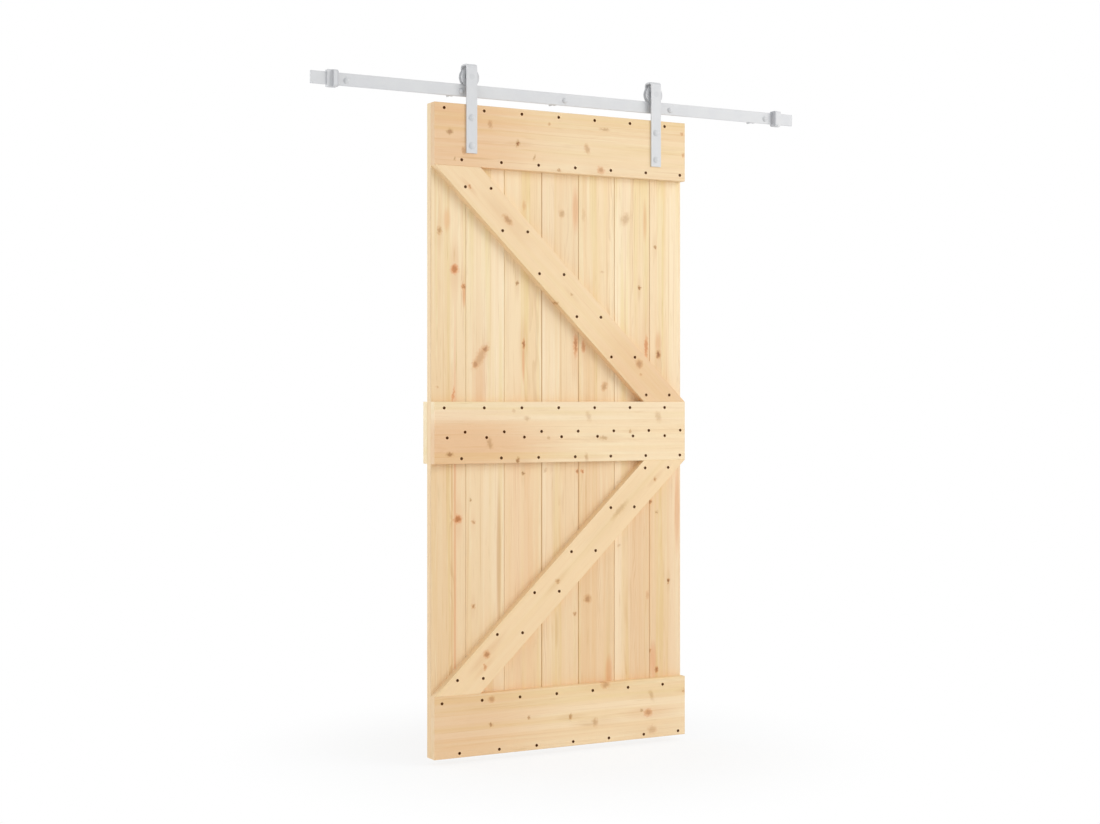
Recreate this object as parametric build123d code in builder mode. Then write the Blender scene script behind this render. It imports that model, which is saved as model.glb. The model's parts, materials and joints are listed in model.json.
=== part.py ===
"""Sliding plank door on a wall-mounted flat rail, in millimetres.

The frame's origin is the centre of the middle spacer's wall face. +X runs along the
rail to the right, +Y points into the wall and +Z up, so the door's front looks to -Y.
The rail's own centre lies a little to the right of the middle spacer and above it.
"""
from build123d import *
import os

# Rail and its fixings
rail_length = 1830.0
rail_height = 40.0
rail_thickness = 6.0
rail_edge_chamfer = 0.8
rail_centre_x = 15.0
rail_centre_z = 3.5
fixing_pitch = 398.0
fixing_hole_radius = 3.5
spacer_radius = 6.5
spacer_chamfer = 0.6
lag_shank_radius = 2.8
lag_thread_radius = 3.0
lag_thread_start = 1.0
lag_thread_length = 30.0
lag_tip_length = 6.0
lag_head_radius = 9.5
lag_head_height = 5.0
head_rim_thickness = 1.0

# Door leaf
door_width = 950.0
door_height = 2100.0
door_gap_below_rail = 26.0
door_rest_offset = -25.0
front_rail_thickness = 28.0
board_thickness = 28.0
back_rail_thickness = 28.0
wall_clearance = 6.0
rail_board_height = 200.0
middle_rail_base = 943.0
brace_foot_width = 165.0
board_count = 7
edge_board_trim = 15.0
board_joint_gap = 0.5
tongue_length = 8.0
tongue_thickness = 8.0
tongue_clearance = 0.5
board_edge_chamfer = 1.5
timber_edge_chamfer = 1.2

# Hangers and their bolts
strap_from_joint = 6.0
strap_width = 38.0
strap_thickness = 5.0
strap_bend_radius = 7.0
hook_inner_depth = 34.0
hook_wheel_gap = 5.0
strap_foot_drop = 157.0
strap_bolt_drops = (43.0, 134.0)
strap_bolt_radius = 4.0
strap_bolt_head_radius = 11.0
strap_bolt_head_height = 4.0
strap_hole_clearance = 0.4
strap_nut_across_flats = 13.0
strap_nut_thickness = 6.5
back_leg_below_axle = 18.0
axle_nut_across_flats = 19.0
axle_nut_thickness = 10.0
washer_radius = 12.0
washer_thickness = 2.0
bolt_end_stand_out = 3.0

# Wheels and axles
wheel_radius = 32.0
wheel_groove_radius = 23.0
wheel_width = 20.0
wheel_groove_side_gap = 1.5
wheel_flange_tip = 3.5
wheel_hub_radius = 15.0
wheel_hub_width = 18.0
wheel_web_width = 12.0
wheel_rim_thickness = 4.0
rail_running_gap = 0.3
bearing_outer_radius = 12.0
bearing_width = 8.0
bushing_radius = 8.0
bushing_shoulder_radius = 10.0
bushing_running_gap = 0.05
bushing_end_gap = 0.3
axle_radius = 6.0
axle_head_radius = 9.5
axle_fit = 0.1

# End stops
stop_length = 29.0
stop_height = 54.0
stop_wall = 5.0
stop_nose_length = 11.0
stop_nose_reach = 17.0
stop_nose_radius = 9.0
stop_end_radius = 2.5
stop_slot_gap = 0.2
stop_pad_thickness = 7.0
stop_pad_edge_radius = 6.5
stop_inner_half_span = 826.0

# Places that follow from the sizes above
door_back_y = -wall_clearance - back_rail_thickness
board_front_y = door_back_y - board_thickness
door_front_y = board_front_y - front_rail_thickness
rail_mid_y = door_front_y + hook_inner_depth / 2
rail_front_y = rail_mid_y - rail_thickness / 2
rail_back_y = rail_mid_y + rail_thickness / 2
rail_top_z = rail_centre_z + rail_height / 2
door_top_z = rail_centre_z - rail_height / 2 - door_gap_below_rail
door_base_z = door_top_z - door_height
door_centre_x = rail_centre_x + door_rest_offset
door_left_x = door_centre_x - door_width / 2
door_right_x = door_centre_x + door_width / 2
board_pitch = (door_width + 2 * edge_board_trim) / board_count
edge_board_width = board_pitch - edge_board_trim
middle_rail_z = door_base_z + middle_rail_base
wheel_centre_z = rail_top_z + rail_running_gap + wheel_groove_radius
hook_inner_top_z = wheel_centre_z + wheel_radius + hook_wheel_gap
back_leg_y = door_front_y + hook_inner_depth + strap_thickness
hanger_places = {
    "left": door_left_x + edge_board_width + strap_from_joint,
    "right": door_right_x - edge_board_width + strap_from_joint,
}
strap_bolt_heights = [door_top_z - drop for drop in strap_bolt_drops]
fixing_places = [
    rail_centre_x - 2 * fixing_pitch,
    rail_centre_x - fixing_pitch,
    0,
    rail_centre_x + fixing_pitch,
    rail_centre_x + 2 * fixing_pitch,
]

os.makedirs("parts", exist_ok=True)


def save(builder, name):
    builder.part.label = name
    export_step(builder.part, f"parts/{name}.step")


def facing_front(x, y, z):
    """A plane whose normal points out of the door's front, at the given place."""
    return Plane(origin=(x, y, z), x_dir=(1, 0, 0), z_dir=(0, -1, 0))


def facing_wall(x, y, z):
    """A plane whose normal points into the wall, at the given place."""
    return Plane(origin=(x, y, z), x_dir=(1, 0, 0), z_dir=(0, 1, 0))


def around_y(x, z):
    """A plane for turned profiles about Y: local x is the radius and local y is +Y."""
    return Plane(origin=(x, 0, z), x_dir=(1, 0, 0), z_dir=(0, 0, 1))


def y_axis_at(x, z):
    return Axis((x, 0, z), (0, 1, 0))


# Flat rail with a hole for each fixing
with BuildPart() as rail_bar:
    with BuildSketch(Plane.YZ.offset(rail_centre_x - rail_length / 2)):
        with Locations((rail_mid_y, rail_centre_z)):
            Rectangle(rail_thickness, rail_height)
    extrude(amount=rail_length)
    chamfer(rail_bar.edges().filter_by(Axis.X), rail_edge_chamfer)
    for x in fixing_places:
        with BuildSketch(facing_wall(x, rail_front_y, 0)):
            Circle(fixing_hole_radius)
        extrude(amount=rail_thickness, mode=Mode.SUBTRACT)
save(rail_bar, "rail_bar")


def wall_spacer(x):
    """Tube that holds the rail off the wall."""
    with BuildPart() as spacer:
        with BuildSketch(facing_wall(x, rail_back_y, 0)):
            Circle(spacer_radius)
            Circle(fixing_hole_radius, mode=Mode.SUBTRACT)
        extrude(amount=-rail_back_y)
        rims = spacer.edges().filter_by(GeomType.CIRCLE)
        chamfer(rims.filter_by(lambda rim: rim.radius > fixing_hole_radius), spacer_chamfer)
    return spacer


def dome_arc(radius, rim_y, top_y):
    """Arc of a domed head, from its rim to its top on the axis, in an around_y sketch."""
    height = rim_y - top_y
    sphere = (radius**2 + height**2) / (2 * height)
    half_radius = radius / 2
    half_y = top_y + sphere - (sphere**2 - half_radius**2) ** 0.5
    return ThreePointArc((radius, rim_y), (half_radius, half_y), (0, top_y))


def lag_bolt(x):
    """Dome-headed wall screw through the rail and its spacer, with a pointed thread."""
    head_top_y = rail_front_y - lag_head_height
    rim_y = rail_front_y - head_rim_thickness
    thread_end_y = lag_thread_start + lag_thread_length
    with BuildPart() as bolt:
        with BuildSketch(around_y(x, 0)):
            with BuildLine():
                Polyline(
                    (0, head_top_y),
                    (0, thread_end_y + lag_tip_length),
                    (lag_thread_radius, thread_end_y),
                    (lag_thread_radius, lag_thread_start),
                    (lag_shank_radius, lag_thread_start),
                    (lag_shank_radius, rail_front_y),
                    (lag_head_radius, rail_front_y),
                    (lag_head_radius, rim_y),
                )
                dome_arc(lag_head_radius, rim_y, head_top_y)
            make_face()
        revolve(axis=y_axis_at(x, 0))
    return bolt


for number, place in enumerate(fixing_places, start=1):
    save(wall_spacer(place), f"wall_spacer_{number}")
    save(lag_bolt(place), f"lag_bolt_{number}")


def stop_plane(side, from_centre):
    """A plane across the rail, facing outwards; its local axes are +Y and up or down.

    side is -1 for the left stop and +1 for the right one.
    """
    origin = (rail_centre_x + side * from_centre, 0, rail_centre_z)
    return Plane(origin=origin, x_dir=(0, 1, 0), z_dir=(side, 0, 0))


def rail_slot(plane, length):
    """Cutter for the slot that the rail passes through."""
    with BuildPart() as slot:
        with BuildSketch(plane):
            with Locations((rail_mid_y, 0)):
                Rectangle(rail_thickness + 2 * stop_slot_gap, rail_height + 2 * stop_slot_gap)
        extrude(amount=length)
    return slot.part


def inner_and_outer(builder):
    """The builder's edges along Y, at the rail's middle and at its end, as two groups."""
    ends = builder.edges().filter_by(Axis.Y).group_by(lambda edge: abs(edge.center().X))
    return ends[0], ends[-1]


def stop_block(side):
    """Clamp around the rail with a thicker, arched nose on the side that the wheel meets."""
    plane = stop_plane(side, stop_inner_half_span + stop_pad_thickness)
    front_y = rail_front_y - stop_wall
    back_y = rail_back_y + stop_wall
    nose_y = rail_front_y - stop_nose_reach
    with BuildPart() as block:
        with BuildSketch(plane):
            with Locations(((front_y + back_y) / 2, 0)):
                Rectangle(back_y - front_y, stop_height)
        extrude(amount=stop_length)
        inner, outer = inner_and_outer(block)
        fillet(outer, stop_end_radius)
        with BuildSketch(plane) as nose:
            with Locations(((nose_y + front_y) / 2, 0)):
                Rectangle(front_y - nose_y, stop_height)
            fillet(nose.vertices().group_by(Axis.X)[0], stop_nose_radius)
        extrude(amount=stop_nose_length)
        add(rail_slot(plane, stop_length), mode=Mode.SUBTRACT)
    return block


def stop_pad(side):
    """Thick buffer with rounded ends on the stop's inner face, with the rail through it."""
    plane = stop_plane(side, stop_inner_half_span)
    nose_y = rail_front_y - stop_nose_reach
    back_y = rail_back_y + stop_wall
    with BuildPart() as pad:
        with BuildSketch(plane) as face:
            with Locations(((nose_y + back_y) / 2, 0)):
                Rectangle(back_y - nose_y, stop_height)
            fillet(face.vertices().group_by(Axis.X)[0], stop_nose_radius)
        extrude(amount=stop_pad_thickness)
        inner, outer = inner_and_outer(pad)
        fillet(inner, stop_pad_edge_radius)
        add(rail_slot(plane, stop_pad_thickness), mode=Mode.SUBTRACT)
    return pad


for side, word in ((-1, "left"), (1, "right")):
    save(stop_block(side), f"stop_block_{word}")
    save(stop_pad(side), f"stop_pad_{word}")


# The four strap bolts' bores, from the straps' front faces to the boards' back
with BuildPart() as strap_bores:
    for x in hanger_places.values():
        for z in strap_bolt_heights:
            with BuildSketch(facing_wall(x, door_front_y - strap_thickness, z)):
                Circle(strap_bolt_radius + strap_hole_clearance)
            extrude(amount=door_back_y - door_front_y + strap_thickness)


def board(index):
    """Vertical plank with a tongue on its right edge and a groove in its left one."""
    first = index == 0
    last = index == board_count - 1
    joint_x = door_left_x + edge_board_width + index * board_pitch
    face_left = door_left_x if first else joint_x - board_pitch + board_joint_gap / 2
    face_right = door_right_x if last else joint_x - board_joint_gap / 2
    mid_y = board_front_y + board_thickness / 2
    with BuildPart() as plank:
        with BuildSketch(Plane.XY.offset(door_base_z)) as outline:
            with Locations(((face_left + face_right) / 2, mid_y)):
                Rectangle(face_right - face_left, board_thickness)
            chamfer(outline.vertices(), board_edge_chamfer)
            if not last:
                with Locations((face_right, mid_y)):
                    Rectangle(2 * tongue_length, tongue_thickness)
            if not first:
                with Locations((face_left, mid_y)):
                    Rectangle(
                        2 * (tongue_length + tongue_clearance),
                        tongue_thickness + 2 * tongue_clearance,
                        mode=Mode.SUBTRACT,
                    )
        extrude(amount=door_height)
        add(strap_bores.part, mode=Mode.SUBTRACT)
    return plank


for index in range(board_count):
    save(board(index), f"board_{index + 1}")


def cross_rail(base_z, front_y, thickness):
    """Horizontal timber across the boards, with its long edges eased."""
    with BuildPart() as timber:
        with BuildSketch(facing_wall(door_centre_x, front_y, base_z + rail_board_height / 2)):
            Rectangle(door_width, rail_board_height)
        extrude(amount=thickness)
        chamfer(timber.edges().filter_by(Axis.X), timber_edge_chamfer)
        add(strap_bores.part, mode=Mode.SUBTRACT)
    return timber


save(cross_rail(door_top_z - rail_board_height, door_front_y, front_rail_thickness), "top_rail")
save(cross_rail(middle_rail_z, door_front_y, front_rail_thickness), "middle_rail")
save(cross_rail(door_base_z, door_front_y, front_rail_thickness), "bottom_rail")
save(cross_rail(middle_rail_z, door_back_y, back_rail_thickness), "back_rail")


def brace(start_z, end_z):
    """Diagonal timber from the left edge at start_z to the right edge at end_z."""
    with BuildPart() as timber:
        with BuildSketch(facing_front(0, board_front_y, 0)):
            Polygon(
                (door_left_x, start_z),
                (door_left_x + brace_foot_width, start_z),
                (door_right_x, end_z),
                (door_right_x - brace_foot_width, end_z),
                align=None,
            )
        extrude(amount=front_rail_thickness)
        chamfer(timber.faces().sort_by(Axis.Y)[0].edges(), timber_edge_chamfer)
    return timber


save(brace(door_top_z - rail_board_height, middle_rail_z + rail_board_height), "upper_brace")
save(brace(door_base_z + rail_board_height, middle_rail_z), "lower_brace")


def hanger(x):
    """Flat strap bolted to the door's front and bent over the wheel like a hook."""
    front_mid_y = door_front_y - strap_thickness / 2
    back_mid_y = door_front_y + hook_inner_depth + strap_thickness / 2
    top_mid_z = hook_inner_top_z + strap_thickness / 2
    foot_z = door_top_z - strap_foot_drop
    with BuildPart() as strap:
        with BuildLine() as path:
            FilletPolyline(
                (x, front_mid_y, foot_z),
                (x, front_mid_y, top_mid_z),
                (x, back_mid_y, top_mid_z),
                (x, back_mid_y, wheel_centre_z - back_leg_below_axle),
                radius=strap_bend_radius + strap_thickness / 2,
            )
        with BuildSketch(Plane(origin=path.line @ 0, x_dir=(1, 0, 0), z_dir=(0, 0, 1))):
            Rectangle(strap_width, strap_thickness)
        sweep()
        add(strap_bores.part, mode=Mode.SUBTRACT)
        with BuildSketch(facing_wall(x, back_mid_y - strap_thickness / 2, wheel_centre_z)):
            Circle(axle_radius + axle_fit)
        extrude(amount=strap_thickness, mode=Mode.SUBTRACT)
        with BuildSketch(around_y(x, wheel_centre_z)):
            with BuildLine():
                Polyline(axle_head_outline(axle_fit), close=True)
            make_face()
        revolve(axis=y_axis_at(x, wheel_centre_z), mode=Mode.SUBTRACT)
    return strap


def axle_head_outline(spare):
    """Half outline of the axle's flush countersunk head, grown by the spare radius."""
    front_y = door_front_y - strap_thickness
    cone_depth = axle_head_radius - axle_radius
    return [
        (0, front_y),
        (axle_head_radius + spare, front_y),
        (axle_radius + spare, front_y + cone_depth),
        (axle_radius + spare, door_front_y),
        (0, door_front_y),
    ]


def wheel(x):
    """Grooved wheel: hub, thinner web and a rim whose flanges reach down past the rail."""
    groove_half = rail_thickness / 2 + wheel_groove_side_gap
    half = wheel_width / 2
    rim_inner = wheel_groove_radius - wheel_rim_thickness
    with BuildPart() as disc:
        with BuildSketch(Plane(origin=(x, rail_mid_y, wheel_centre_z), x_dir=(1, 0, 0), z_dir=(0, 0, 1))):
            with BuildLine():
                Polyline(
                    (bearing_outer_radius, -wheel_hub_width / 2),
                    (wheel_hub_radius, -wheel_hub_width / 2),
                    (wheel_hub_radius, -wheel_web_width / 2),
                    (rim_inner, -wheel_web_width / 2),
                    (rim_inner, -half),
                    (wheel_radius, -half),
                    (wheel_radius, wheel_flange_tip - half),
                    (wheel_groove_radius, -groove_half),
                    (wheel_groove_radius, groove_half),
                    (wheel_radius, half - wheel_flange_tip),
                    (wheel_radius, half),
                    (rim_inner, half),
                    (rim_inner, wheel_web_width / 2),
                    (wheel_hub_radius, wheel_web_width / 2),
                    (wheel_hub_radius, wheel_hub_width / 2),
                    (bearing_outer_radius, wheel_hub_width / 2),
                    close=True,
                )
            make_face()
        revolve(axis=y_axis_at(x, wheel_centre_z))
    return disc


def bearing(x):
    """Bearing ring pressed into the wheel's hub, running on the bushings."""
    with BuildPart() as ring:
        with BuildSketch(facing_wall(x, rail_mid_y - bearing_width / 2, wheel_centre_z)):
            Circle(bearing_outer_radius)
            Circle(bushing_radius + bushing_running_gap, mode=Mode.SUBTRACT)
        extrude(amount=bearing_width)
    return ring


def axle_bushings(x):
    """Two shouldered bushings that meet in the bearing and centre the wheel in the hook."""
    barrel_end = bushing_end_gap / 2
    shoulder = bearing_width / 2 + bushing_end_gap
    leg = hook_inner_depth / 2
    inner = axle_radius + axle_fit
    with BuildPart() as pair:
        with BuildSketch(Plane(origin=(x, rail_mid_y, wheel_centre_z), x_dir=(1, 0, 0), z_dir=(0, 0, 1))):
            for way in (-1, 1):
                with BuildLine():
                    Polyline(
                        (inner, way * barrel_end),
                        (bushing_radius, way * barrel_end),
                        (bushing_radius, way * shoulder),
                        (bushing_shoulder_radius, way * shoulder),
                        (bushing_shoulder_radius, way * leg),
                        (inner, way * leg),
                        close=True,
                    )
                make_face()
        revolve(axis=y_axis_at(x, wheel_centre_z))
    return pair


def axle_bolt(x):
    """Axle with a flush countersunk head, through both legs of the hook."""
    end_y = back_leg_y + washer_thickness + axle_nut_thickness + bolt_end_stand_out
    head = axle_head_outline(0)
    with BuildPart() as bolt:
        with BuildSketch(around_y(x, wheel_centre_z)):
            with BuildLine():
                Polyline(head[:3] + [(axle_radius, end_y), (0, end_y)], close=True)
            make_face()
        revolve(axis=y_axis_at(x, wheel_centre_z))
    return bolt


def nut_and_washer(places, face_y, shank_radius, across_flats, thickness):
    """Washer and hexagon nut on the wall side of face_y, one set at each (x, z) place."""
    with BuildPart() as fixings:
        for x, z in places:
            with BuildSketch(facing_wall(x, face_y, z)):
                Circle(washer_radius)
                Circle(shank_radius, mode=Mode.SUBTRACT)
            extrude(amount=washer_thickness)
            with BuildSketch(facing_wall(x, face_y + washer_thickness, z)):
                RegularPolygon(across_flats / 2, 6, major_radius=False)
                Circle(shank_radius, mode=Mode.SUBTRACT)
            extrude(amount=thickness)
    return fixings


def strap_bolts(x):
    """Two dome-headed bolts through the strap, the top rail and the boards."""
    seat_y = door_front_y - strap_thickness
    rim_y = seat_y - head_rim_thickness
    head_top_y = seat_y - strap_bolt_head_height
    end_y = door_back_y + washer_thickness + strap_nut_thickness + bolt_end_stand_out
    with BuildPart() as bolts:
        for z in strap_bolt_heights:
            with BuildSketch(around_y(x, z)):
                with BuildLine():
                    Polyline(
                        (0, head_top_y),
                        (0, end_y),
                        (strap_bolt_radius, end_y),
                        (strap_bolt_radius, seat_y),
                        (strap_bolt_head_radius, seat_y),
                        (strap_bolt_head_radius, rim_y),
                    )
                    dome_arc(strap_bolt_head_radius, rim_y, head_top_y)
                make_face()
            revolve(axis=y_axis_at(x, z))
    return bolts


def axle_nut(x):
    """Axle's nut on the hook's back leg."""
    place = (x, wheel_centre_z)
    return nut_and_washer([place], back_leg_y, axle_radius, axle_nut_across_flats, axle_nut_thickness)


def strap_nuts(x):
    """Strap bolts' nuts on the boards' back."""
    places = [(x, z) for z in strap_bolt_heights]
    return nut_and_washer(
        places, door_back_y, strap_bolt_radius, strap_nut_across_flats, strap_nut_thickness
    )


for word, x in hanger_places.items():
    save(hanger(x), f"hanger_{word}")
    save(wheel(x), f"wheel_{word}")
    save(bearing(x), f"bearing_{word}")
    save(axle_bushings(x), f"axle_bushings_{word}")
    save(axle_bolt(x), f"axle_bolt_{word}")
    save(axle_nut(x), f"axle_nut_{word}")
    save(strap_bolts(x), f"strap_bolts_{word}")
    save(strap_nuts(x), f"strap_nuts_{word}")
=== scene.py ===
"""Looks of a sliding plank door: planed pine, powder-coated steel, zinc-flake coated bolts,
blackened nails and grey rubber pads.

Every place on the door is given in millimetres from the lower left front corner of its
bottom rail: to the right, into the door and up.
"""
import json
import math

import bpy
from mathutils import Matrix, Vector


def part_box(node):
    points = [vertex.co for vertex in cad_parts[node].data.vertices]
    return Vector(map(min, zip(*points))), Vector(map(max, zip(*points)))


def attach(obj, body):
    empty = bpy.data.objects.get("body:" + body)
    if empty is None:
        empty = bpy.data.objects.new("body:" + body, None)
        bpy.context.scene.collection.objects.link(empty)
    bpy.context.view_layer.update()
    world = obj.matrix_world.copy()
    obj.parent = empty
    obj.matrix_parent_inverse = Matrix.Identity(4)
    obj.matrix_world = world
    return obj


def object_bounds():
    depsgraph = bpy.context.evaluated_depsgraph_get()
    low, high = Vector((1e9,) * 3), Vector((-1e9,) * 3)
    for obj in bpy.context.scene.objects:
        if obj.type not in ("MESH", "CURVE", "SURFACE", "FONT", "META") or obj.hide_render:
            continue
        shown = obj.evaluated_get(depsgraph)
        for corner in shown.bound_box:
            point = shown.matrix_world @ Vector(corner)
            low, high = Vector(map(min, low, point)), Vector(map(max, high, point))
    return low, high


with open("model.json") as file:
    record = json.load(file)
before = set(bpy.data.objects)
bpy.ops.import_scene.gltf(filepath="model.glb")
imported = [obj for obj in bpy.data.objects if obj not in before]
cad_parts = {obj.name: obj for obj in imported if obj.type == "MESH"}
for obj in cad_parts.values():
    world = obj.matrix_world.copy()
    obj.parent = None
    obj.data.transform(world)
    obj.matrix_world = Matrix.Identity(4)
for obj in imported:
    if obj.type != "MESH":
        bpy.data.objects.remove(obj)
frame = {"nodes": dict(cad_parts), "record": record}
cad_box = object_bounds()
door_corner = Vector(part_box("bottom_rail")[0])

# Wood, in millimetres: a brace and the gap between two nails across it, a growth ring, the
# stretch of trunk that each timber is cut from, and how far a knot's rim wanders
brace_width = 118
brace_nail_gap = 92.6
ring_width = 4.4
trunk_stretch = 2700
rim_wander = 17
# The rest, in metres: a nail's head and how far it stands out, the lag bolts' thread, and the
# air under the door
nail_radius = 0.0049
nail_thickness = 0.0016
nail_proud = 0.0003
thread_pitch = 0.0025
floor_gap = 0.02


# Nodes and colours

def linear(hex_colour):
    """Linear RGBA of an sRGB hex colour."""
    channels = [int(hex_colour[i:i + 2], 16) / 255 for i in (1, 3, 5)]
    return [c / 12.92 if c <= 0.04045 else ((c + 0.055) / 1.055) ** 2.4 for c in channels] + [1.0]


def add_node(tree, kind, settings=None, inputs=None, links=None):
    """A node with its settings and input values, linked from the given sockets."""
    node = tree.nodes.new(kind)
    for name, value in (settings or {}).items():
        setattr(node, name, value)
    for name, value in (inputs or {}).items():
        node.inputs[name].default_value = value
    for name, socket in (links or {}).items():
        tree.links.new(socket, node.inputs[name])
    return node


def new_group(name, inputs, outputs):
    """A node group with the given sockets, and its input and output nodes."""
    group = bpy.data.node_groups.new(name, "ShaderNodeTree")
    for label, kind in inputs.items():
        group.interface.new_socket(label, in_out="INPUT", socket_type=kind)
    for label, kind in outputs.items():
        group.interface.new_socket(label, in_out="OUTPUT", socket_type=kind)
    return group, group.nodes.new("NodeGroupInput").outputs, group.nodes.new("NodeGroupOutput").inputs


def new_material(name):
    """A material, its node tree and its shader."""
    material = bpy.data.materials.new(name)
    material.use_nodes = True
    return material, material.node_tree, material.node_tree.nodes["Principled BSDF"]


# Wood: planed, unvarnished Scots pine. Dry cream sapwood with soft growth lines, brown and
# reddish knots with a stained rim, and strips of slightly different tone glued edge to edge.

def make_mark_group():
    """An oval mark in the wood, as a dark core, a brown rim and a red rim, and how much it
    swells the growth rings around it."""
    group, given, result = new_group(
        "wood mark",
        {"Place": "NodeSocketVector", "Centre": "NodeSocketVector", "Stretch": "NodeSocketVector",
         "Lean": "NodeSocketFloat", "Core": "NodeSocketFloat", "Brown": "NodeSocketFloat",
         "Red": "NodeSocketFloat"},
        {"Mark": "NodeSocketVector", "Swell": "NodeSocketFloat"},
    )
    offset = add_node(group, "ShaderNodeVectorMath", {"operation": "SUBTRACT"},
                      links={0: given["Place"], 1: given["Centre"]})
    upright = add_node(group, "ShaderNodeVectorRotate", {"rotation_type": "Y_AXIS"},
                       links={"Vector": offset.outputs[0], "Angle": given["Lean"]})
    oval = add_node(group, "ShaderNodeVectorMath", {"operation": "MULTIPLY"},
                    links={0: upright.outputs[0], 1: given["Stretch"]})
    radius = add_node(group, "ShaderNodeVectorMath", {"operation": "LENGTH"},
                      links={0: oval.outputs[0]}).outputs["Value"]
    core = add_node(group, "ShaderNodeMapRange", {"interpolation_type": "SMOOTHSTEP"},
                    {"From Min": 1.35, "From Max": 0.4}, {"Value": radius})
    rim = add_node(group, "ShaderNodeMapRange", {"interpolation_type": "SMOOTHSTEP"},
                   {"From Min": 2.6, "From Max": 0.6}, {"Value": radius})
    reach = add_node(group, "ShaderNodeMapRange", {"interpolation_type": "SMOOTHERSTEP"},
                     {"From Min": 4.5, "From Max": 0.0}, {"Value": radius})
    amounts = []
    for part, amount in ((core, "Core"), (rim, "Brown"), (rim, "Red")):
        amounts.append(add_node(group, "ShaderNodeMath", {"operation": "MULTIPLY"},
                                links={0: part.outputs[0], 1: given[amount]}).outputs[0])
    mark = add_node(group, "ShaderNodeCombineXYZ", links=dict(zip("XYZ", amounts)))
    swell = add_node(group, "ShaderNodeMath", {"operation": "MULTIPLY"},
                     links={0: reach.outputs[0], 1: given["Core"]})
    group.links.new(mark.outputs[0], result["Mark"])
    group.links.new(swell.outputs[0], result["Swell"])
    return group


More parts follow.
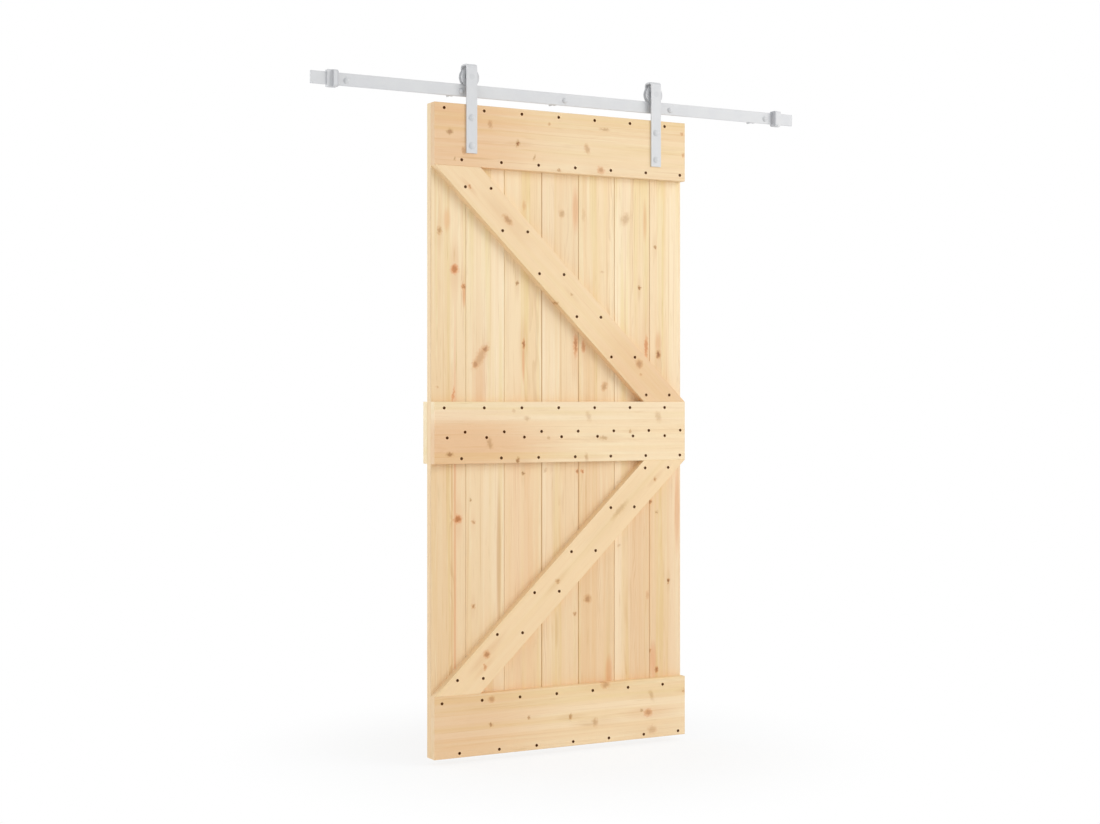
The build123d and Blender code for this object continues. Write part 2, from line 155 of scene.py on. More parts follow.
def make_pine_group():
    """Planed pine. Grain is a place in millimetres: along the grain, into the face, across it."""
    group, given, result = new_group(
        "planed pine",
        {"Place": "NodeSocketVector", "Grain": "NodeSocketVector", "Pith": "NodeSocketVector",
         "Strip": "NodeSocketColor", "Mark": "NodeSocketVector", "Swell": "NodeSocketFloat",
         "Ring Width": "NodeSocketFloat", "Ring Depth": "NodeSocketFloat",
         "Figure": "NodeSocketFloat", "End": "NodeSocketFloat"},
        {"Colour": "NodeSocketColor", "Roughness": "NodeSocketFloat", "Height": "NodeSocketFloat"},
    )

    def grain_noise(length, width):
        """Noise drawn out along the grain, with features of this many millimetres."""
        scaled = add_node(group, "ShaderNodeVectorMath", {"operation": "MULTIPLY"},
                          {1: (1 / length, 1 / width, 1 / width)}, {0: given["Grain"]})
        return add_node(group, "ShaderNodeTexNoise", None, {"Scale": 1.0, "Detail": 2.0},
                        {"Vector": scaled.outputs[0]}).outputs[0]

    def streaks(length, width, low, high, strength):
        """Streaks along the grain: nothing where their noise is below low, full strength at high."""
        return add_node(group, "ShaderNodeMapRange", {"interpolation_type": "SMOOTHSTEP"},
                        {"From Min": low, "From Max": high, "To Max": strength},
                        {"Value": grain_noise(length, width)}).outputs[0]

    # Distance from the pith in millimetres. The pith wanders, the trunk widens towards its foot
    # and the rings swell around a knot.
    off_pith = add_node(group, "ShaderNodeVectorMath", {"operation": "SUBTRACT"},
                        links={0: given["Grain"], 1: given["Pith"]})
    section = add_node(group, "ShaderNodeVectorMath", {"operation": "MULTIPLY"},
                       {1: (0.0, 1.0, 1.0)}, {0: off_pith.outputs[0]})
    distance = add_node(group, "ShaderNodeVectorMath", {"operation": "LENGTH"},
                        links={0: section.outputs[0]}).outputs["Value"]
    along = add_node(group, "ShaderNodeSeparateXYZ", links={0: given["Grain"]}).outputs["X"]
    for cause, reach in ((along, 0.012), (grain_noise(420, 60), 34), (given["Swell"], 9)):
        distance = add_node(group, "ShaderNodeMath", {"operation": "MULTIPLY_ADD"}, {1: reach},
                            {0: cause, 2: distance}).outputs[0]

    # Growth rings. Each one's latewood darkens slowly and ends sharply.
    ring = add_node(group, "ShaderNodeMath", {"operation": "DIVIDE"},
                    links={0: distance, 1: given["Ring Width"]})
    ring = add_node(group, "ShaderNodeMath", {"operation": "FRACT"}, links={0: ring.outputs[0]})
    edges = [add_node(group, "ShaderNodeMapRange", {"interpolation_type": "SMOOTHSTEP"},
                      {"From Min": start, "From Max": full}, {"Value": ring.outputs[0]}).outputs[0]
             for start, full in ((0.35, 0.85), (1.0, 0.88))]
    latewood = add_node(group, "ShaderNodeMath", {"operation": "MULTIPLY"},
                        links={0: edges[0], 1: edges[1]}).outputs[0]
    # The rings show in some stretches of the wood and are lost in others
    lines = latewood
    for share in (streaks(620, 24, 0.5, 0.72, 1), given["Ring Depth"]):
        lines = add_node(group, "ShaderNodeMath", {"operation": "MULTIPLY"},
                         links={0: lines, 1: share}).outputs[0]

    # Tones laid over the strips' own colour, each with how much of it shows. First come broad
    # bands and narrow streaks, as tone, length, width, start in their noise, and strength.
    tones = []
    for tone, length, width, start, strength in (
            ("#e9d08e", 1500, 29, 0.48, 0.66), ("#efcb98", 1200, 23, 0.48, 0.36),
            ("#fae9c6", 900, 18, 0.48, 0.45), ("#d3a768", 700, 6, 0.58, 0.5),
            ("#cfa868", 130, 7, 0.59, 0.5), ("#fcefcd", 190, 9, 0.57, 0.45)):
        band = streaks(length, width, start, start + 0.2, strength)
        shown = add_node(group, "ShaderNodeMath", {"operation": "MULTIPLY"},
                         links={0: band, 1: given["Figure"]})
        tones.append((tone, shown.outputs[0]))
    # The rings' lines, and fibres about 1 mm wide
    tones.append(("#c4935a", lines))
    fibre = streaks(45, 1.1, 0.5, 0.8, 1)
    fine = add_node(group, "ShaderNodeMath", {"operation": "MULTIPLY"}, {1: 0.1}, {0: fibre})
    tones.append(("#c79a68", fine.outputs[0]))
    # The foot of the door is a little deeper in tone than its head
    height = add_node(group, "ShaderNodeSeparateXYZ", links={0: given["Place"]}).outputs["Z"]
    foot = add_node(group, "ShaderNodeMapRange", {"interpolation_type": "SMOOTHSTEP"},
                    {"From Min": 1500, "From Max": 300, "To Max": 0.12}, {"Value": height})
    tones.append(("#e2ae74", foot.outputs[0]))
    # Sawn ends are paler and duller than planed faces: partly the end grain's own tone, partly painted
    # light on the door's ends
    end_tone_and_light = add_node(group, "ShaderNodeMath", {"operation": "MULTIPLY"}, {1: 0.35}, {0: given["End"]})
    tones.append(("#f4e6bd", end_tone_and_light.outputs[0]))
    # Marks lie over all of it: their red rim, their brown rim and their dark core
    mark = add_node(group, "ShaderNodeSeparateXYZ", links={0: given["Mark"]}).outputs
    tones += [("#df7d3c", mark["Z"]), ("#be883a", mark["Y"]), ("#854a12", mark["X"])]

    colour = given["Strip"]
    for tone, amount in tones:
        colour = add_node(group, "ShaderNodeMix", {"data_type": "RGBA", "clamp_factor": True},
                          {"B": linear(tone)}, {"Factor": amount, "A": colour}).outputs["Result"]
    rough = add_node(group, "ShaderNodeMapRange", None, {"To Min": 0.56, "To Max": 0.7},
                     {"Value": fibre})
    relief = fibre
    for part, depth in ((latewood, 0.6), (mark["X"], 1)):
        relief = add_node(group, "ShaderNodeMath", {"operation": "MULTIPLY_ADD"}, {1: depth},
                          {0: part, 2: relief}).outputs[0]
    for label, socket in (("Colour", colour), ("Roughness", rough.outputs[0]), ("Height", relief)):
        group.links.new(socket, result[label])
    return group


# Knots: place to the right and up, width, height, lean of the top to the right in degrees,
# darkness and redness
knots = {
    "top_rail": [
        (54, 2008, 18, 13, 0, 0.6, 0.3), (199, 2042, 14, 24, -8, 0.4, 0.4),
        (301, 1986, 10, 15, 10, 0.8, 0.3), (418, 2058, 8, 7, 0, 0.35, 0.3),
        (362, 1943, 7, 13, 15, 0.45, 0), (103, 1951, 12, 20, 0, 0.45, 0.5),
        (72, 1922, 6, 12, 0, 0.5, 0.3), (629, 2055, 30, 8, 0, 0.4, 0.1),
        (562, 1987, 14, 24, -18, 0.38, 0.2), (615, 1918, 18, 15, 0, 0.45, 0.5),
        (454, 1908, 9, 7, 0, 0.5, 0.2), (938, 2062, 9, 8, 0, 0.4, 0.4), (942, 1989, 8, 10, 0, 0.4, 0.4),
    ],
    "upper_brace": [
        (125, 1835, 7, 7, 0, 0.5, 0.6), (263, 1735, 14, 30, -45, 0.5, 0.3),
        (445, 1468, 12, 9, 0, 0.45, 0.2), (502, 1499, 8, 7, 0, 0.4, 0.1),
        (766, 1271, 20, 22, 0, 0.5, 0.4), (773, 1235, 9, 7, 0, 0.3, 0.4),
    ],
    "board_1": [
        (31, 1692, 11, 17, 0, 0.5, 0.2), (85, 1570, 17, 20, 0, 0.5, 1),
        (118, 1515, 11, 12, 0, 0.55, 0.8), (24, 1189, 7, 7, 0, 0.3, 0.2), (96, 764, 18, 18, 0, 0.6, 1),
        (80, 1165, 6, 34, 8, 0.2, 0.8),
    ],
    "board_2": [
        (196, 1313, 13, 20, 35, 0.6, 0.6), (178, 1288, 22, 60, 30, 0.36, 0.4),
        (160, 1264, 15, 18, 0, 0.5, 0.6), (141, 825, 7, 6, 0, 0.6, 0), (152, 753, 9, 9, 0, 0.45, 0.4),
        (152, 479, 9, 11, 0, 0.6, 0.4),
    ],
    "board_3": [
        (313, 1531, 7, 12, 10, 0.6, 0.1), (337, 1332, 7, 24, 0, 0.65, 0.8),
        (335, 907, 8, 10, 0, 0.65, 0.2), (339, 1787, 9, 22, 0, 0.15, 0.3),
    ],
    "board_4": [
        (481, 1768, 17, 19, 0, 0.4, 0.15), (534, 1331, 10, 44, 0, 0.5, 0.8),
        (417, 916, 10, 9, 0, 0.3, 0.1), (540, 911, 8, 9, 0, 0.6, 0.7), (531, 434, 8, 11, 0, 0.5, 0.4),
    ],
    "board_5": [
        (563, 1328, 9, 26, 0, 0.3, 0.7), (645, 1194, 15, 22, 25, 0.45, 0.3),
        (560, 909, 8, 9, 0, 0.5, 0.9), (580, 482, 19, 21, 0, 0.52, 0.35),
        (636, 1580, 9, 6, 0, 0.25, 0.1), (565, 1768, 9, 30, 0, 0.2, 0.1),
    ],
    "board_6": [
        (729, 1762, 20, 30, 18, 0.36, 0.05), (784, 1530, 8, 9, 0, 0.7, 0.2),
        (811, 1328, 9, 48, 0, 0.35, 0.8), (702, 656, 9, 7, 0, 0.3, 0), (816, 483, 9, 22, 0, 0.25, 0.4),
    ],
    "board_7": [
        (860, 1305, 12, 22, 0, 0.75, 0.5), (846, 1672, 8, 10, 0, 0.55, 0.1),
        (827, 800, 8, 10, 0, 0.65, 0.5), (853, 764, 8, 8, 0, 0.5, 0.1), (900, 528, 7, 14, 5, 0.85, 0.3),
        (825, 292, 8, 14, 0, 0.5, 0.7), (853, 226, 10, 15, 0, 0.65, 0.7),
    ],
    "middle_rail": [
        (286, 1113, 10, 8, 30, 0.25, 0.1), (335, 1089, 16, 12, 0, 0.33, 0.1),
        (198, 1008, 15, 28, -15, 0.42, 0.1), (54, 973, 19, 11, 0, 0.65, 0.2),
        (301, 952, 9, 14, 0, 0.7, 0.2), (416, 1024, 7, 8, 0, 0.35, 0.1),
        (567, 1095, 14, 24, -20, 0.28, 0), (842, 1092, 16, 24, -25, 0.3, 0),
        (626, 1022, 22, 8, 0, 0.42, 0), (730, 1043, 6, 9, 0, 0.45, 0.1),
        (560, 958, 10, 18, -20, 0.35, 0.1),
    ],
    "lower_brace": [
        (828, 880, 8, 9, 0, 0.6, 0.3), (688, 778, 14, 58, 45, 0.33, 0), (450, 549, 11, 11, 0, 0.5, 0.2),
        (187, 325, 15, 15, 0, 0.55, 0.6), (180, 285, 7, 12, 0, 0.35, 0.6),
    ],
    "bottom_rail": [
        (204, 179, 17, 15, 0, 0.45, 0.4), (202, 97, 10, 10, 0, 0.6, 0.3),
        (341, 108, 8, 10, 0, 0.5, 0.2), (633, 193, 22, 16, 0, 0.4, 0.35),
        (603, 208, 7, 6, 0, 0.45, 0.1), (815, 144, 12, 22, -25, 0.33, 0), (776, 97, 8, 8, 0, 0.45, 0.1),
        (802, 86, 20, 17, 0, 0.42, 0.6), (498, 96, 8, 13, 0, 0.6, 0.1),
        (593, 71, 15, 19, -10, 0.4, 0.1), (818, 27, 24, 18, 0, 0.3, 0.15),
        (945, 150, 7, 9, 0, 0.4, 0.3),
    ],
    "back_rail": [
        (120, 1080, 14, 12, 0, 0.55, 0.4), (388, 1015, 9, 20, -15, 0.5, 0.3),
        (590, 1102, 10, 9, 0, 0.45, 0.2), (742, 990, 16, 13, 0, 0.6, 0.7),
        (881, 1060, 8, 10, 0, 0.5, 0.1),
    ],
}

# Stains that follow the grain: place, width, height, brownness and redness
stains_and_joint_shade = {
    "top_rail": [
        (146, 1928, 90, 5, 0.4, 0.1), (20, 2000, 420, 260, 0.16, 0.24),
        (850, 2000, 760, 360, 0.11, 0.02),
    ],
    "middle_rail": [
        (60, 1003, 420, 110, 0.16, 0.26), (400, 1130, 700, 60, 0.09, 0),
    ],
    "bottom_rail": [
        (0, 130, 420, 240, 0.14, 0.14), (570, 66, 44, 5, 0.3, 0),
    ],
    "upper_brace": [
        (830, 1200, 300, 260, 0.12, 0.12),
    ],
    "board_1": [
        (57, 1728, 14, 40, 0.05, 0.25), (67, 560, 150, 1000, 0.1, 0.02), (86, 600, 5, 900, 0.05, 0.42),
        (75, 560, 3.5, 760, 0.22, 0.2), (119, 1490, 7, 44, 0.05, 0.45),
    ],
    "board_2": [
        (245, 629, 10, 290, 0.5, 0.05), (176, 1197, 30, 130, 0.12, 0.2), (196, 560, 110, 900, 0.09, 0),
    ],
    "board_3": [
        (336, 1273, 6, 74, 0.05, 0.45), (323, 623, 70, 640, 0.02, 0.14),
    ],
    "board_4": [
        (534, 1782, 15, 80, 0.2, 0.36), (475, 500, 150, 1000, 0.08, 0.05),
        (475, 1700, 150, 460, 0.13, 0.02), (447, 833, 12, 170, 0.18, 0.02),
        (461, 381, 9, 75, 0.3, 0.05),
    ],
    "board_5": [
        (600, 500, 100, 1000, 0.1, 0.08), (663, 423, 17, 400, 0.2, 0), (663, 231, 17, 64, 0.1, 0.4),
    ],
    "board_6": [
        (806, 1756, 8, 76, 0.08, 0.25), (790, 480, 90, 1000, 0.14, 0.12),
    ],
    "board_7": [
        (860, 500, 120, 1000, 0.1, 0.08), (936, 770, 12, 180, 0.15, 0.35),
        (838, 259, 18, 74, 0.05, 0.4), (860, 1347, 14, 40, 0.05, 0.25),
    ],
}

# Painted shade, with some dust, in dark lines down both sides of four joints: the board, the line's
# place, width and darkness.
# They stand where the photo has them, up to 1.6 mm to the left of the boards' own edges.
joint_shade_lines = [
    ("board_3", 404.2, 2, 0.5), ("board_4", 405.2, 2, 0.5),
    ("board_4", 543.6, 1.6, 0.4), ("board_5", 544.6, 1.6, 0.4),
    ("board_5", 683.2, 1.6, 0.4), ("board_6", 684, 1.6, 0.4),
    ("board_6", 823.4, 1.6, 0.3), ("board_7", 824.2, 1.6, 0.3),
]
# Their middle is about half way up the door, and they reach far past its ends
# Each line joins its board's stains, as painted shade in the gap with some dust
for board, edge, width, darkness in joint_shade_lines:
    stains_and_joint_shade[board].append((edge, 1000, width, 9000, darkness, 0))

# Tones of the strips that a timber is glued from
pale, cream, tan = "#f9e2be", "#f5dbb3", "#f1d4a9"

# Each timber: turn of its grain in degrees, start of each strip from its left or lower edge
# with its tone, the pith's place into the timber and across it, and how deep its rings and
# its figure show
timbers = {
    "board_1": (-90, [(0, tan), (67, cream)], (48, 30), 0.36, 0.85),
    "board_2": (-90, [(0, cream), (62, pale)], (70, -70), 0.26, 0.75),
    "board_3": (-90, [(0, cream), (70, tan)], (44, 40), 0.28, 0.75),
    "board_4": (-90, [(0, pale), (66, cream)], (80, -20), 0.28, 0.75),
    "board_5": (-90, [(0, tan), (72, cream)], (52, 64), 0.3, 0.75),
    "board_6": (-90, [(0, pale), (60, cream)], (60, -34), 0.28, 0.75),
    "board_7": (-90, [(0, cream), (80, pale)], (90, 24), 0.34, 0.85),
    "top_rail": (0, [(0, cream), (68, cream), (132, tan)], (50, 20), 0.12, 0.6),
    "middle_rail": (0, [(0, cream), (66, cream), (140, pale)], (66, -50), 0.1, 0.6),
    "bottom_rail": (0, [(0, cream), (62, pale), (134, cream)], (46, 70), 0.1, 0.6),
    "back_rail": (0, [(0, tan), (70, cream), (136, pale)], (-56, 10), 0.2, 1),
    "upper_brace": (-43.96, [(0, "#f2d3a8")], (120, 10), 0.04, 0.25),
    "lower_brace": (43.43, [(0, "#f5d8ad")], (140, -16), 0.04, 0.25),
}

mark_group = make_mark_group()
pine_group = make_pine_group()


def marked_wood(tree, marks):
    """The marks' strongest core and rims at each point, and how far they swell the rings."""
    strongest = add_node(tree, "ShaderNodeCombineXYZ").outputs[0]
    swell = add_node(tree, "ShaderNodeValue").outputs[0]
    for place, x, z, width, height, lean, core, brown, red in marks:
        mark = add_node(tree, "ShaderNodeGroup", {"node_tree": mark_group}, {
            "Centre": (x, 0, z), "Stretch": (2 / width, 0, 2 / height), "Lean": math.radians(-lean),
            "Core": core, "Brown": brown, "Red": red}, {"Place": place})
        strongest = add_node(tree, "ShaderNodeVectorMath", {"operation": "MAXIMUM"},
                             links={0: strongest, 1: mark.outputs["Mark"]}).outputs[0]
        swell = add_node(tree, "ShaderNodeMath", {"operation": "ADD"},
                         links={0: swell, 1: mark.outputs["Swell"]}).outputs[0]
    return strongest, swell


def knot_rim_place(tree, place):
    """Places that wander in waves of about 9 mm, because a knot's rim is uneven."""
    waves = add_node(tree, "ShaderNodeTexNoise", None, {"Scale": 0.11, "Detail": 3.0},
                     {"Vector": place})
    shift = add_node(tree, "ShaderNodeVectorMath", {"operation": "MULTIPLY_ADD"},
                     {1: (rim_wander, 0, rim_wander), 2: (-rim_wander / 2, 0, -rim_wander / 2)},
                     {0: waves.outputs["Color"]})
    return add_node(tree, "ShaderNodeVectorMath", links={0: place, 1: shift.outputs[0]}).outputs[0]


def marks_on(node, turn, place, rim_place):
    """A timber's stains, the painted shade of its joint lines and its knots, in the order that
    marked_wood reads.
    The wood runs darker along the grain on both sides of a knot."""
    marks = [(place, x, z, w, h, 0, 0, brown, red) for x, z, w, h, brown, red in stains_and_joint_shade.get(node, [])]
    for x, z, w, h, lean, dark, red in knots[node]:
        size = w + h
        marks.append((rim_place, x, z, w, h, lean, 1.3 * dark ** 2, dark * (1 - 0.5 * red), 0.8 * red))
        marks.append((place, x, z, 0.6 * size, 3 * size, -90 - turn, 0, 0.25 * dark, 0.12 * red))
    return marks


def strip_tones(tree, grain, strips, width):
    """The tone of the strip at each point of a timber of this width."""
    across = add_node(tree, "ShaderNodeSeparateXYZ", links={0: grain}).outputs["Z"]
    share = add_node(tree, "ShaderNodeMapRange", None,
                     {"From Min": -width / 2, "From Max": width / 2}, {"Value": across})
    ramp = add_node(tree, "ShaderNodeValToRGB", links={"Fac": share.outputs[0]})
    ramp.color_ramp.interpolation = "CONSTANT"
    ramp.color_ramp.elements.remove(ramp.color_ramp.elements[1])
    ramp.color_ramp.elements[0].color = linear(strips[0][1])
    for start, tone in strips[1:]:
        ramp.color_ramp.elements.new(start / width).color = linear(tone)
    return ramp.outputs["Color"]


def pine(node, number):
    """Planed pine for one timber, with its own grain, strips, stains and knots."""
    turn, strips, pith, ring_depth, figure = timbers[node]
    material, tree, shader = new_material(f"planed pine {node.replace('_', ' ')}")
    low, high = (Vector(corner) - door_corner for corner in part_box(node))
    if turn == -90:
        width = 1000 * (high.x - low.x)
    elif turn == 0:
        width = 1000 * (high.z - low.z)
    else:
        width = brace_width
    centre = 1000 * (low + high) / 2
    turned = Matrix.Rotation(math.radians(turn), 3, "Y") @ centre

    coordinates = add_node(tree, "ShaderNodeTexCoord")
    place = add_node(tree, "ShaderNodeMapping", None, {
        "Location": -1000 * door_corner, "Scale": (1000, 1000, 1000)},
        {"Vector": coordinates.outputs["Object"]}).outputs[0]
    # Each timber has its own stretch of trunk
    grain = add_node(tree, "ShaderNodeMapping", None, {
        "Location": (trunk_stretch * number - turned.x, -centre.y, -turned.z),
        "Rotation": (0, math.radians(turn), 0)}, {"Vector": place}).outputs[0]

    mark, swell = marked_wood(tree, marks_on(node, turn, place, knot_rim_place(tree, place)))
    tones = strip_tones(tree, grain, strips, width)

    # Sawn ends face along the grain
    facing = add_node(tree, "ShaderNodeMapping", None, {"Rotation": (0, math.radians(turn), 0)},
                      {"Vector": coordinates.outputs["Normal"]})
    end = add_node(tree, "ShaderNodeMath", {"operation": "ABSOLUTE"}, links={
        0: add_node(tree, "ShaderNodeSeparateXYZ", links={0: facing.outputs[0]}).outputs["X"]})

    wood = add_node(tree, "ShaderNodeGroup", {"node_tree": pine_group}, {
        "Pith": (0, *pith), "Ring Width": ring_width, "Ring Depth": ring_depth, "Figure": figure},
        {"Place": place, "Grain": grain, "Strip": tones, "Mark": mark, "Swell": swell,
         "End": end.outputs[0]})
    bump = add_node(tree, "ShaderNodeBump", None, {"Strength": 0.4, "Distance": 0.0002},
                    {"Height": wood.outputs["Height"]})
    tree.links.new(wood.outputs["Colour"], shader.inputs["Base Color"])
    tree.links.new(wood.outputs["Roughness"], shader.inputs["Roughness"])
    tree.links.new(bump.outputs[0], shader.inputs["Normal"])
    shader.inputs["IOR"].default_value = 1.53
    return material


def powder_coat(name, colour, shade):
    """Steel with a satin powder coat: an even, slightly dimpled light grey skin."""
    material, tree, shader = new_material(name)
    coordinates = add_node(tree, "ShaderNodeTexCoord").outputs["Object"]
    # Uneven film thickness, in clouds of about 60 mm
    cloud = add_node(tree, "ShaderNodeTexNoise", None, {"Scale": 16.0, "Detail": 3.0},
                     {"Vector": coordinates})
    spread = add_node(tree, "ShaderNodeMapRange", None, {"From Min": 0.35, "From Max": 0.65},
                      {"Value": cloud.outputs[0]})
    mixed = add_node(tree, "ShaderNodeMix", {"data_type": "RGBA"},
                     {"A": linear(shade), "B": linear(colour)}, {"Factor": spread.outputs[0]})
    # Orange peel of about 2 mm
    peel = add_node(tree, "ShaderNodeTexNoise", None, {"Scale": 480.0, "Detail": 1.0},
                    {"Vector": coordinates})
    bump = add_node(tree, "ShaderNodeBump", None, {"Strength": 0.25, "Distance": 0.0001},
                    {"Height": peel.outputs[0]})
    rough = add_node(tree, "ShaderNodeMapRange", None, {"To Min": 0.48, "To Max": 0.62},
                     {"Value": peel.outputs[0]})
    tree.links.new(mixed.outputs["Result"], shader.inputs["Base Color"])
    tree.links.new(rough.outputs[0], shader.inputs["Roughness"])
    tree.links.new(bump.outputs[0], shader.inputs["Normal"])
    shader.inputs["IOR"].default_value = 1.5
    return material


def flake_coat():
    """Zinc-flake coated bolts: a dull silver-grey paint-like film, with threads on the shanks."""
    material, tree, shader = new_material("zinc-flake coated steel")
    coordinates = add_node(tree, "ShaderNodeTexCoord").outputs["Object"]
    # The real flakes are far finer, and are drawn as uneven specks of about 2 mm so that they show
    flakes = add_node(tree, "ShaderNodeTexNoise", None, {"Scale": 520.0, "Detail": 2.0},
                      {"Vector": coordinates})
    mixed = add_node(tree, "ShaderNodeMix", {"data_type": "RGBA"},
                     {"A": linear("#cbccce"), "B": linear("#d8d8d9")}, {"Factor": flakes.outputs[0]})
    rough = add_node(tree, "ShaderNodeMapRange", None, {"To Min": 0.5, "To Max": 0.7},
                     {"Value": flakes.outputs[0]})
    # Only the lag bolts reach behind the wall's plane, and they have their thread there
    depth = add_node(tree, "ShaderNodeSeparateXYZ", links={0: coordinates}).outputs["Y"]
    turns = add_node(tree, "ShaderNodeMath", {"operation": "DIVIDE"}, {1: thread_pitch}, {0: depth})
    flank = add_node(tree, "ShaderNodeMath", {"operation": "PINGPONG"}, {1: 0.5}, {0: turns.outputs[0]})
    in_wall = add_node(tree, "ShaderNodeMath", {"operation": "GREATER_THAN"}, {1: 0.001}, {0: depth})
    thread = add_node(tree, "ShaderNodeMath", {"operation": "MULTIPLY"},
                      links={0: flank.outputs[0], 1: in_wall.outputs[0]})
    bump = add_node(tree, "ShaderNodeBump", None, {"Distance": 0.002}, {"Height": thread.outputs[0]})
    tree.links.new(mixed.outputs["Result"], shader.inputs["Base Color"])
    tree.links.new(rough.outputs[0], shader.inputs["Roughness"])
    tree.links.new(bump.outputs[0], shader.inputs["Normal"])
    return material


def moulded_rubber():
    """Light grey moulded rubber: dull, with a fine mould grain."""
    material, tree, shader = new_material("moulded grey rubber")
    coordinates = add_node(tree, "ShaderNodeTexCoord").outputs["Object"]
    # The real mould grain is finer, and is drawn about 1 mm wide so that it shows
    grain = add_node(tree, "ShaderNodeTexNoise", None, {"Scale": 900.0, "Detail": 2.0},
                     {"Vector": coordinates})
    mixed = add_node(tree, "ShaderNodeMix", {"data_type": "RGBA"},
                     {"A": linear("#bfbfc2"), "B": linear("#cbcbce")}, {"Factor": grain.outputs[0]})
    bump = add_node(tree, "ShaderNodeBump", None, {"Strength": 0.3, "Distance": 0.0001},
                    {"Height": grain.outputs[0]})
    tree.links.new(mixed.outputs["Result"], shader.inputs["Base Color"])
    tree.links.new(bump.outputs[0], shader.inputs["Normal"])
    shader.inputs["Roughness"].default_value = 0.8
    shader.inputs["IOR"].default_value = 1.52
    return material


def black_oxide():
    """Oil-blackened nail steel: dark brown-black, dull, with lighter rubbed spots."""
    material, tree, shader = new_material("blackened nail steel")
    coordinates = add_node(tree, "ShaderNodeTexCoord").outputs["Object"]
    spots = add_node(tree, "ShaderNodeTexNoise", None, {"Scale": 700.0, "Detail": 2.0},
                     {"Vector": coordinates})
    mixed = add_node(tree, "ShaderNodeMix", {"data_type": "RGBA"},
                     {"A": linear("#542600"), "B": linear("#663204")}, {"Factor": spots.outputs[0]})
    tree.links.new(mixed.outputs["Result"], shader.inputs["Base Color"])
    shader.inputs["Roughness"].default_value = 0.9
    shader.inputs["Specular IOR Level"].default_value = 0.05
    return material


finishes = {
    "rail_steel": powder_coat("powder-coated steel", "#d9d9da", "#d6d6d8"),
    # The wheels' coat is a shade darker than the rail's: painted shade for their place inside the
    # hangers
    "wheel_steel": powder_coat("powder-coated wheel with painted shade", "#d2d2d4", "#cececf"),
    "bolt_steel": flake_coat(),
    "pad_rubber": moulded_rubber(),
}
nail_steel = black_oxide()
for number, part in enumerate(frame["record"]["subparts"]):
    node, slot = part["node"], part["material_slot"]
    mesh = frame["nodes"][node].data
    mesh.materials.clear()
    mesh.materials.append(pine(node, number) if slot == "pine" else finishes[slot])


# Nails

def nail_head():
    """One nail's head at the origin, facing the front: a thin disc with a dished face."""
    bpy.ops.object.select_all(action="DESELECT")
    bpy.ops.mesh.primitive_cylinder_add(vertices=12, radius=nail_radius, depth=nail_thickness,
                                        location=(0, 0, 0), rotation=(math.radians(90), 0, 0))
    bpy.ops.object.transform_apply(location=True, rotation=True, scale=True)
    head = bpy.context.object
    bpy.ops.object.mode_set(mode="EDIT")
    bpy.ops.mesh.select_all(action="DESELECT")
    bpy.ops.object.mode_set(mode="OBJECT")
    for face in head.data.polygons:
        face.select = face.normal.y < -0.9
    bpy.ops.object.mode_set(mode="EDIT")
    bpy.ops.mesh.inset(thickness=nail_radius * 0.25, depth=0)
    bpy.ops.mesh.inset(thickness=nail_radius * 0.2, depth=-nail_proud)
    bpy.ops.object.mode_set(mode="OBJECT")
    bpy.ops.object.shade_smooth_by_angle(angle=math.radians(40))
    return head


def nail_rows(name, places, face_y, turn):
    """Nail heads at these places, a hair proud of the timber's face, as one piece. Turn is half a
    turn for nails driven from the back."""
    pattern = nail_head()
    pattern.data.transform(Matrix.Rotation(turn, 4, "Z"))
    # The heads' middle lies in the timber, so behind a front face and in front of a back one
    middle_y = face_y + math.cos(turn) * (nail_thickness / 2 - nail_proud)
    copies = []
    for x, z in places:
        copy = pattern.copy()
        copy.data = pattern.data.copy()
        bpy.context.collection.objects.link(copy)
        place = (door_corner.x + x / 1000, middle_y, door_corner.z + z / 1000)
        copy.data.transform(Matrix.Translation(place))
        copies.append(copy)
    bpy.data.objects.remove(pattern)
    bpy.ops.object.select_all(action="DESELECT")
    for copy in copies:
        copy.select_set(True)
    bpy.context.view_layer.objects.active = copies[0]
    bpy.ops.object.join()
    piece = bpy.context.object
    piece.name = name
    piece.data.materials.clear()
    piece.data.materials.append(nail_steel)
    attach(piece, "door")


# Rows of nails, as their height and the places of the seven nails in each row
upper_row = (34.4, 177.8, 315.5, 453.6, 591.2, 729.3, 867.7)
rail_rows = {
    2083: upper_row,
    1920: (96.7, 240.4, 378.0, 516.6, 654.0, 792.2, 929.8),
    1123: upper_row,
    1045: (108.9, 250.6, 389.0, 527.6, 665.7, 804.3, 931.3),
    1027: (45.0, 186.4, 325.0, 464.3, 602.3, 741.2, 868.3),
    960: (96.2, 240.1, 378.0, 516.5, 654.0, 792.3, 929.7),
    178: (26.6, 170.1, 308.8, 446.1, 583.9, 721.8, 859.7),
    14: (89.0, 232.7, 370.5, 508.7, 646.6, 784.2, 922.5),
}
# Pairs of nails across a brace: the left nail's place, with the right one level with it
brace_pairs = [
    (109.9, 1834.0), (244.7, 1699.2), (381.2, 1563.8), (522.8, 1425.6), (656.4, 1293.2),
    (794.1, 1165.8), (789.7, 918.0), (654.1, 787.0), (502.2, 645.2), (363.0, 516.1),
    (225.5, 387.2), (81.8, 248.3),
]
nail_places = [(x, z) for z, row in rail_rows.items() for x in row]
nail_places += [(x + across, z) for x, z in brace_pairs for across in (0, brace_nail_gap)]
nail_rows("nail_heads", nail_places, door_corner.y, 0)

# The back rail is nailed to each board near its upper and lower edges
board_middles = (60, 197, 334, 474, 614, 753, 893)
back_places = [(x - 24, 1118) for x in board_middles] + [(x + 24, 970) for x in board_middles]
nail_rows("back_nail_heads", back_places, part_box("back_rail")[1][1], math.pi)


# Stops

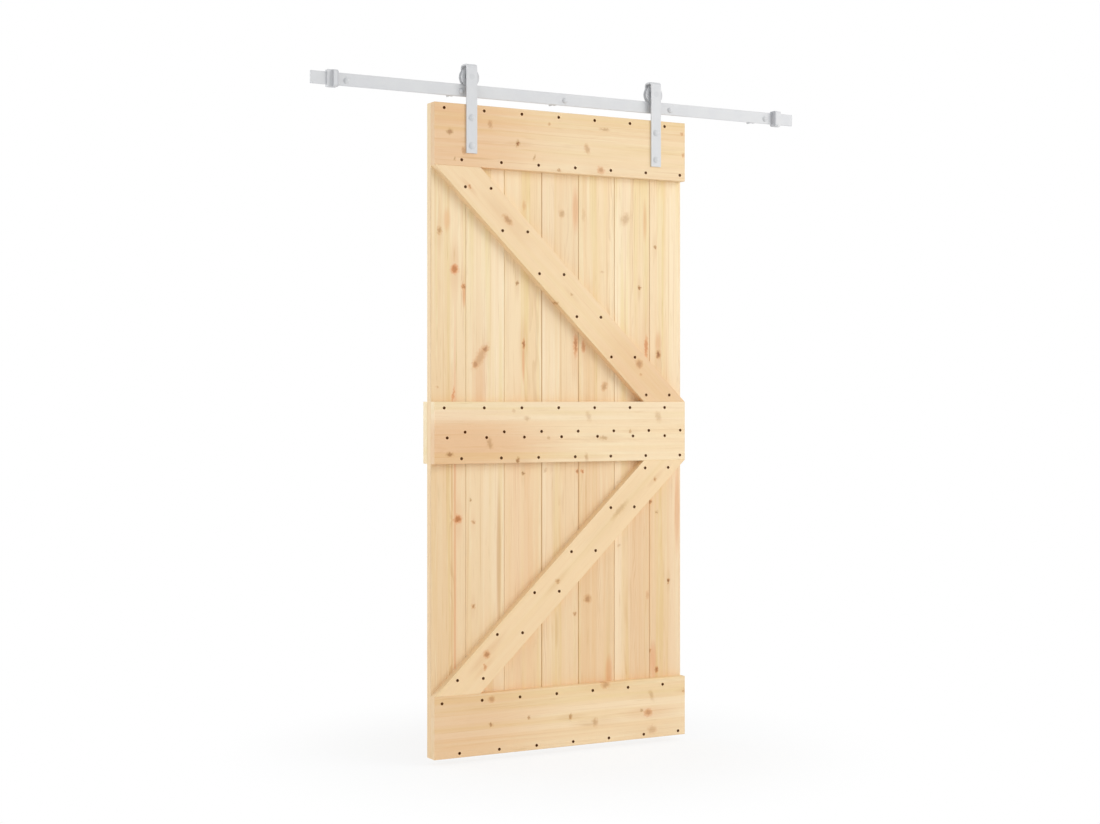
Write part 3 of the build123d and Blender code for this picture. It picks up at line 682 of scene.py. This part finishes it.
def grub_screw(name, x, y, z):
    """A socket set screw whose end stands a little proud of a face that looks up."""
    bpy.ops.object.select_all(action="DESELECT")
    bpy.ops.mesh.primitive_cylinder_add(vertices=6, radius=0.0015, depth=0.004,
                                        location=(0, 0, 0.001))
    socket = bpy.context.object
    bpy.ops.mesh.primitive_cylinder_add(vertices=32, radius=0.0025, depth=0.003,
                                        location=(0, 0, -0.0012))
    screw = bpy.context.object
    bevel = screw.modifiers.new("edge", "BEVEL")
    bevel.width, bevel.segments = 0.0003, 2
    cut = screw.modifiers.new("socket", "BOOLEAN")
    cut.operation, cut.object = "DIFFERENCE", socket
    for modifier in ("edge", "socket"):
        bpy.ops.object.modifier_apply(modifier=modifier)
    bpy.data.objects.remove(socket)
    bpy.ops.object.transform_apply(location=True, rotation=True, scale=True)
    screw.data.transform(Matrix.Translation((x, y, z)))
    screw.name = name
    screw.data.materials.clear()
    screw.data.materials.append(nail_steel)
    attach(screw, "rail")


rail_low, rail_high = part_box("rail_bar")
for hand in ("left", "right"):
    low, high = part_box(f"stop_block_{hand}")
    grub_screw(f"grub_screw_{hand}", (low[0] + high[0]) / 2, (rail_low[1] + rail_high[1]) / 2,
               high[2])


# Camera and studio

def seen_by_camera(tree):
    """1 for what the camera sees, straight or mirrored, and 0 for the light that it sends out."""
    ray = add_node(tree, "ShaderNodeLightPath").outputs
    return add_node(tree, "ShaderNodeMath", {"operation": "MAXIMUM"}, links={
        0: ray["Is Camera Ray"], 1: ray["Is Glossy Ray"]}).outputs[0]


def studio_floor():
    """Matt white floor that takes a faint shadow under the door and fades to plain white."""
    material, tree, shader = new_material("white studio floor")
    shader.inputs["Base Color"].default_value = linear("#f4f4f4")
    shader.inputs["Roughness"].default_value = 0.9
    middle = add_node(tree, "ShaderNodeVectorMath", {"operation": "LENGTH"},
                      links={0: add_node(tree, "ShaderNodeTexCoord").outputs["Object"]})
    fade = add_node(tree, "ShaderNodeMapRange", {"interpolation_type": "SMOOTHSTEP"},
                    {"From Min": 0.4, "From Max": 1.2, "To Min": 0.8},
                    {"Value": middle.outputs["Value"]})
    share = add_node(tree, "ShaderNodeMath", {"operation": "MULTIPLY"},
                     links={0: seen_by_camera(tree), 1: fade.outputs[0]})
    white = add_node(tree, "ShaderNodeEmission", None, {"Color": (1, 1, 1, 1), "Strength": 1.0})
    mixed = add_node(tree, "ShaderNodeMixShader", links={
        0: share.outputs[0], 1: shader.outputs[0], 2: white.outputs[0]})
    tree.links.new(mixed.outputs[0], tree.nodes["Material Output"].inputs["Surface"])
    return material


# The camera is level, 29 degrees to the left of the door's front
scene = bpy.context.scene
bpy.ops.object.camera_add(
    location=(-2.966, -5.344, -0.9984), rotation=(math.radians(90), 0, math.radians(-28.91))
)
camera = bpy.context.object
camera.data.lens = 59.56
camera.data.shift_y = -0.0097
scene.camera = camera

# An even white surround, seen brighter than it shines
scene.view_settings.view_transform = "Standard"
scene.world = bpy.data.worlds.new("studio")
scene.world.use_nodes = True
world = scene.world.node_tree
seen = seen_by_camera(world)
strength = add_node(world, "ShaderNodeMapRange", inputs={"To Min": 0.62, "To Max": 1.0},
                    links={"Value": seen})
tone = add_node(world, "ShaderNodeMix", {"data_type": "RGBA"},
                {"A": (0.94, 0.975, 1, 1), "B": (1, 1, 1, 1)}, {"Factor": seen})
sky = world.nodes["Background"]
world.links.new(tone.outputs["Result"], sky.inputs["Color"])
world.links.new(strength.outputs[0], sky.inputs["Strength"])

# Lamps, as place, aim, size, power and colour: a large soft one high in front on the right, one
# behind on the left, and a small one close by on the left for the lower part of the door's edge
for place, aim, size, power, colour in (
        ((5.0, -5.0, 1.8), (0, 0, -1.0), 5.0, 270, (1.0, 0.98, 0.95)),
        ((-4.0, 4.0, -0.8), (0, 0, -1.0), 4.0, 100, (1, 1, 1)),
        ((-2.8, -1.2, -0.9), (-0.8, 0, -1.6), 1.0, 9, (1, 1, 1))):
    bpy.ops.object.light_add(type="AREA", location=place)
    lamp = bpy.context.object
    lamp.data.size = size
    lamp.data.energy = power
    lamp.data.color = colour
    lamp.rotation_euler = (Vector(aim) - lamp.location).to_track_quat("-Z", "Y").to_euler()

bpy.ops.mesh.primitive_plane_add(size=30, location=(0, 0, cad_box[0][2] - floor_gap))
floor = bpy.context.object
floor.name = "floor"
floor.data.materials.append(studio_floor())
